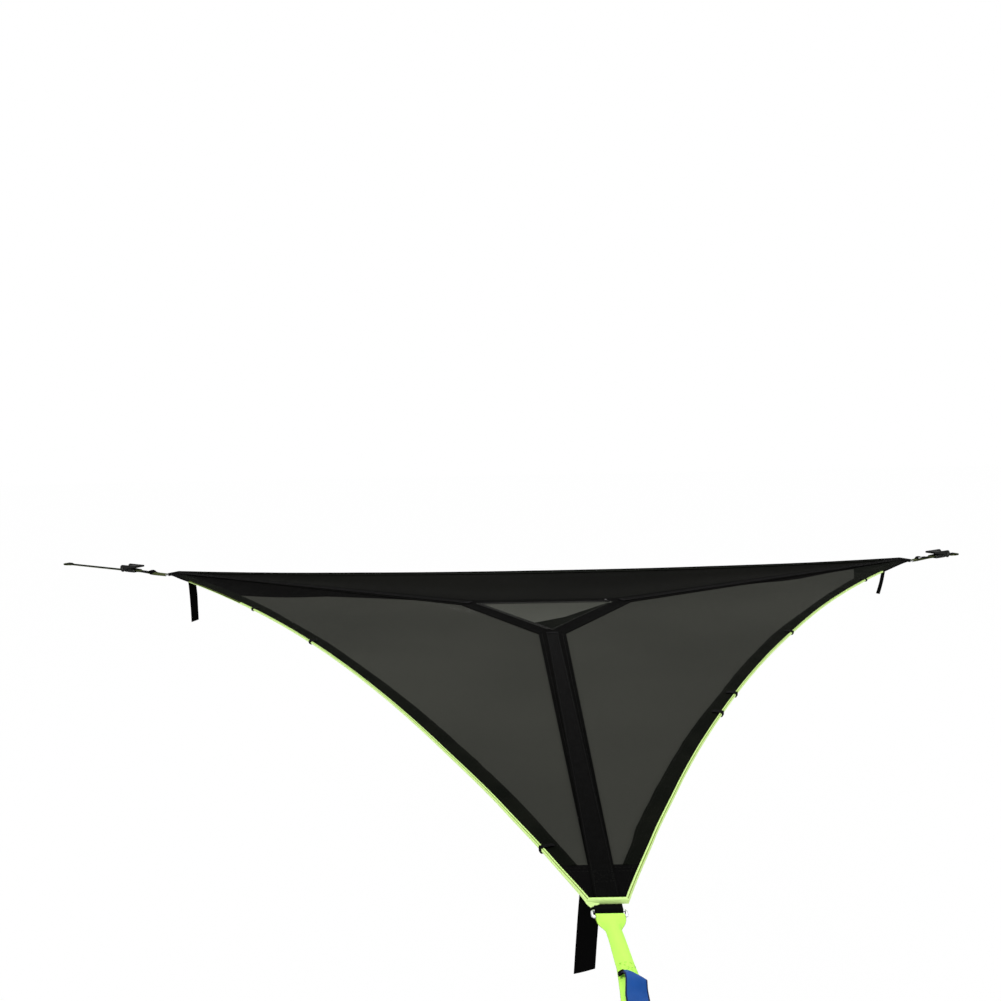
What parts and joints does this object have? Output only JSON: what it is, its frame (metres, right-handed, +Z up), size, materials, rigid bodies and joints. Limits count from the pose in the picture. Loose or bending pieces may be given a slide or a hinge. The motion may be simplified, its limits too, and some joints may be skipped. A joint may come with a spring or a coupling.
{
  "type": "triangle hammock",
  "caption": "Triangular mesh hammock bed with a hatch at its centre, coloured webbing edges, and a sling, ratchet and tree strap at each corner.",
  "frame": {"origin": "middle of the bed, in the plane of the underside of its bands", "axes": "+Z up, square to the bed; +X to the right along the far edge; the near corner lies along -Y"},
  "size_m": [5.2193, 4.5646, 0.2766],
  "materials": {
    "mesh_panel_right": "fine open polyester mesh",
    "border_right": "woven polyester, matt",
    "edge_webbing_right": "woven webbing, bright",
    "mesh_panel_far": "fine open polyester mesh",
    "border_far": "woven polyester, matt",
    "edge_webbing_far": "woven webbing, bright",
    "mesh_panel_left": "fine open polyester mesh",
    "border_left": "woven polyester, matt",
    "edge_webbing_left": "woven webbing, bright",
    "seam_strip_near": "woven polyester, matt",
    "corner_gusset_near": "woven polyester, matt",
    "ring_loop_near": "woven webbing, matt",
    "seam_strip_right": "woven polyester, matt",
    "corner_gusset_right": "woven polyester, matt",
    "ring_loop_right": "woven webbing, matt",
    "seam_strip_left": "woven polyester, matt",
    "corner_gusset_left": "woven polyester, matt",
    "ring_loop_left": "woven webbing, matt",
    "edge_keeper_left": "woven webbing, matt",
    "edge_keeper_right": "woven webbing, matt",
    "hatch_frame": "woven polyester, matt",
    "zip_tape": "coil zip",
    "hatch_flap": "fine open polyester mesh",
    "zip_slider": "die-cast, plated",
    "ring_near": "welded wire, plated",
    "sling_near": "woven webbing, bright",
    "sling_label_near": "printed woven label, bare here",
    "ratchet_frame_near": "black coating, satin",
    "ratchet_bolt_near": "plated",
    "ratchet_spool_near": "black coating, satin",
    "strap_roll_near": "woven webbing",
    "ratchet_handle_near": "black coating, satin",
    "drive_pawl_near": "black coating, satin",
    "lock_pawl_near": "black coating, satin",
    "tree_strap_near": "woven webbing, matt",
    "tail_near": "woven webbing, matt",
    "ring_right": "welded wire, plated",
    "sling_right": "woven webbing, bright",
    "sling_label_right": "printed woven label, bare here",
    "ratchet_frame_right": "black coating, satin",
    "ratchet_bolt_right": "plated",
    "ratchet_spool_right": "black coating, satin",
    "strap_roll_right": "woven webbing",
    "ratchet_handle_right": "black coating, satin",
    "drive_pawl_right": "black coating, satin",
    "lock_pawl_right": "black coating, satin",
    "tree_strap_right": "woven webbing, matt",
    "tail_right": "woven webbing, matt",
    "ring_left": "welded wire, plated",
    "sling_left": "woven webbing, bright",
    "sling_label_left": "printed woven label, bare here",
    "ratchet_frame_left": "black coating, satin",
    "ratchet_bolt_left": "plated",
    "ratchet_spool_left": "black coating, satin",
    "strap_roll_left": "woven webbing",
    "ratchet_handle_left": "black coating, satin",
    "drive_pawl_left": "black coating, satin",
    "lock_pawl_left": "black coating, satin",
    "tree_strap_left": "woven webbing, matt",
    "tail_left": "woven webbing, matt"
  },
  "bodies": {
    "bed": {"mesh_panel_right": "mesh_panel_right", "border_right": "border_right", "edge_webbing_right": "edge_webbing_right", "mesh_panel_far": "mesh_panel_far", "border_far": "border_far", "edge_webbing_far": "edge_webbing_far", "mesh_panel_left": "mesh_panel_left", "border_left": "border_left", "edge_webbing_left": "edge_webbing_left", "seam_strip_near": "seam_strip_near", "corner_gusset_near": "corner_gusset_near", "ring_loop_near": "ring_loop_near", "seam_strip_right": "seam_strip_right", "corner_gusset_right": "corner_gusset_right", "ring_loop_right": "ring_loop_right", "seam_strip_left": "seam_strip_left", "corner_gusset_left": "corner_gusset_left", "ring_loop_left": "ring_loop_left", "edge_keeper_left": "edge_keeper_left", "edge_keeper_right": "edge_keeper_right", "hatch_frame": "hatch_frame", "zip_tape": "zip_tape"},
    "hatch_flap": {"hatch_flap": "hatch_flap"},
    "zip_slider": {"zip_slider": "zip_slider"},
    "ring_near": {"ring_near": "ring_near"},
    "sling_near": {"sling_near": "sling_near", "sling_label_near": "sling_label_near"},
    "ratchet_near": {"ratchet_frame_near": "ratchet_frame_near", "ratchet_bolt_near": "ratchet_bolt_near"},
    "spool_near": {"ratchet_spool_near": "ratchet_spool_near", "strap_roll_near": "strap_roll_near"},
    "handle_near": {"ratchet_handle_near": "ratchet_handle_near"},
    "drive_pawl_near": {"drive_pawl_near": "drive_pawl_near"},
    "lock_pawl_near": {"lock_pawl_near": "lock_pawl_near"},
    "tree_strap_near": {"tree_strap_near": "tree_strap_near"},
    "tail_near": {"tail_near": "tail_near"},
    "ring_right": {"ring_right": "ring_right"},
    "sling_right": {"sling_right": "sling_right", "sling_label_right": "sling_label_right"},
    "ratchet_right": {"ratchet_frame_right": "ratchet_frame_right", "ratchet_bolt_right": "ratchet_bolt_right"},
    "spool_right": {"ratchet_spool_right": "ratchet_spool_right", "strap_roll_right": "strap_roll_right"},
    "handle_right": {"ratchet_handle_right": "ratchet_handle_right"},
    "drive_pawl_right": {"drive_pawl_right": "drive_pawl_right"},
    "lock_pawl_right": {"lock_pawl_right": "lock_pawl_right"},
    "tree_strap_right": {"tree_strap_right": "tree_strap_right"},
    "tail_right": {"tail_right": "tail_right"},
    "ring_left": {"ring_left": "ring_left"},
    "sling_left": {"sling_left": "sling_left", "sling_label_left": "sling_label_left"},
    "ratchet_left": {"ratchet_frame_left": "ratchet_frame_left", "ratchet_bolt_left": "ratchet_bolt_left"},
    "spool_left": {"ratchet_spool_left": "ratchet_spool_left", "strap_roll_left": "strap_roll_left"},
    "handle_left": {"ratchet_handle_left": "ratchet_handle_left"},
    "drive_pawl_left": {"drive_pawl_left": "drive_pawl_left"},
    "lock_pawl_left": {"lock_pawl_left": "lock_pawl_left"},
    "tree_strap_left": {"tree_strap_left": "tree_strap_left"},
    "tail_left": {"tail_left": "tail_left"}
  },
  "joints": [
    {"name": "hatch_swing", "type": "hinge", "parent": "bed", "child": "hatch_flap", "pos_m": [0.14939, -0.08625, 0.0016], "axis": [0.5, 0.866, 0], "range_deg": [0, 100]},
    {"name": "zip_slider_slide", "type": "slide", "parent": "bed", "child": "zip_slider", "axis": [-1, 0, 0], "range_m": [0, 0.5]},
    {"name": "ring_swing_near", "type": "hinge", "parent": "bed", "child": "ring_near", "pos_m": [0, -2.3214, -0.0102], "axis": [-1, 0, 0], "range_deg": [-30, 30]},
    {"name": "sling_swing_near", "type": "hinge", "parent": "ring_near", "child": "sling_near", "pos_m": [0, -2.3394, -0.0102], "axis": [-1, 0, 0], "range_deg": [-25, 25]},
    {"name": "ratchet_swing_near", "type": "hinge", "parent": "sling_near", "child": "ratchet_near", "pos_m": [0, -2.6694, -0.0102], "axis": [-1, 0, 0], "range_deg": [-15, 15]},
    {"name": "spool_turn_near", "type": "hinge", "parent": "ratchet_near", "child": "spool_near", "pos_m": [0, -2.7614, 0.0013], "axis": [1, 0, 0], "continuous": true},
    {"name": "handle_swing_near", "type": "hinge", "parent": "ratchet_near", "child": "handle_near", "pos_m": [0, -2.7614, 0.0013], "axis": [1, 0, 0], "range_deg": [0, 165]},
    {"name": "drive_pawl_slide_near", "type": "slide", "parent": "handle_near", "child": "drive_pawl_near", "axis": [0, 0.9781, 0.2079], "range_m": [0, 0.0055], "stiffness_N_per_m": 400, "springref_m": -0.005},
    {"name": "lock_pawl_slide_near", "type": "slide", "parent": "ratchet_near", "child": "lock_pawl_near", "axis": [0, 0.9511, -0.309], "range_m": [0, 0.0045], "stiffness_N_per_m": 400, "springref_m": -0.005},
    {"name": "strap_swing_near", "type": "hinge", "parent": "ratchet_near", "child": "tree_strap_near", "pos_m": [0, -2.7614, 0.0013], "axis": [-1, 0, 0], "range_deg": [-20, 5]},
    {"name": "tail_swing_near", "type": "hinge", "parent": "bed", "child": "tail_near", "pos_m": [-0.017, -2.2029, -0.0013], "axis": [1, 0, 0], "range_deg": [-15, 50]},
    {"name": "ring_swing_right", "type": "hinge", "parent": "bed", "child": "ring_right", "pos_m": [2.01039, 1.1607, -0.0102], "axis": [0.5, -0.866, 0], "range_deg": [-30, 30]},
    {"name": "sling_swing_right", "type": "hinge", "parent": "ring_right", "child": "sling_right", "pos_m": [2.02598, 1.1697, -0.0102], "axis": [0.5, -0.866, 0], "range_deg": [-25, 25]},
    {"name": "ratchet_swing_right", "type": "hinge", "parent": "sling_right", "child": "ratchet_right", "pos_m": [2.20438, 1.2727, -0.0102], "axis": [0.5, -0.866, 0], "range_deg": [-15, 15]},
    {"name": "spool_turn_right", "type": "hinge", "parent": "ratchet_right", "child": "spool_right", "pos_m": [2.28406, 1.3187, 0.0013], "axis": [-0.5, 0.866, 0], "continuous": true},
    {"name": "handle_swing_right", "type": "hinge", "parent": "ratchet_right", "child": "handle_right", "pos_m": [2.28406, 1.3187, 0.0013], "axis": [-0.5, 0.866, 0], "range_deg": [0, 165]},
    {"name": "drive_pawl_slide_right", "type": "slide", "parent": "handle_right", "child": "drive_pawl_right", "axis": [-0.8471, -0.4891, 0.2079], "range_m": [0, 0.0055], "stiffness_N_per_m": 400, "springref_m": -0.005},
    {"name": "lock_pawl_slide_right", "type": "slide", "parent": "ratchet_right", "child": "lock_pawl_right", "axis": [-0.8236, -0.4755, -0.309], "range_m": [0, 0.0045], "stiffness_N_per_m": 400, "springref_m": -0.005},
    {"name": "strap_swing_right", "type": "hinge", "parent": "ratchet_right", "child": "tree_strap_right", "pos_m": [2.28406, 1.3187, 0.0013], "axis": [0.5, -0.866, 0], "range_deg": [-20, 5]},
    {"name": "tail_swing_right", "type": "hinge", "parent": "bed", "child": "tail_right", "pos_m": [1.82853, 1.0557, -0.0013], "axis": [1, 0, 0], "range_deg": [-15, 50]},
    {"name": "ring_swing_left", "type": "hinge", "parent": "bed", "child": "ring_left", "pos_m": [-2.01039, 1.1607, -0.0102], "axis": [0.5, 0.866, 0], "range_deg": [-30, 30]},
    {"name": "sling_swing_left", "type": "hinge", "parent": "ring_left", "child": "sling_left", "pos_m": [-2.02598, 1.1697, -0.0102], "axis": [0.5, 0.866, 0], "range_deg": [-25, 25]},
    {"name": "ratchet_swing_left", "type": "hinge", "parent": "sling_left", "child": "ratchet_left", "pos_m": [-2.25894, 1.3042, -0.0102], "axis": [0.5, 0.866, 0], "range_deg": [-15, 15]},
    {"name": "spool_turn_left", "type": "hinge", "parent": "ratchet_left", "child": "spool_left", "pos_m": [-2.33862, 1.3502, 0.0013], "axis": [-0.5, -0.866, 0], "continuous": true},
    {"name": "handle_swing_left", "type": "hinge", "parent": "ratchet_left", "child": "handle_left", "pos_m": [-2.33862, 1.3502, 0.0013], "axis": [-0.5, -0.866, 0], "range_deg": [0, 165]},
    {"name": "drive_pawl_slide_left", "type": "slide", "parent": "handle_left", "child": "drive_pawl_left", "axis": [0.8471, -0.4891, 0.2079], "range_m": [0, 0.0055], "stiffness_N_per_m": 400, "springref_m": -0.005},
    {"name": "lock_pawl_slide_left", "type": "slide", "parent": "ratchet_left", "child": "lock_pawl_left", "axis": [0.8236, -0.4755, -0.309], "range_m": [0, 0.0045], "stiffness_N_per_m": 400, "springref_m": -0.005},
    {"name": "strap_swing_left", "type": "hinge", "parent": "ratchet_left", "child": "tree_strap_left", "pos_m": [-2.33862, 1.3502, 0.0013], "axis": [0.5, 0.866, 0], "range_deg": [-20, 5]},
    {"name": "tail_swing_left", "type": "hinge", "parent": "bed", "child": "tail_left", "pos_m": [-1.87443, 1.0822, -0.0013], "axis": [1, 0, 0], "range_deg": [-15, 50]}
  ]
}
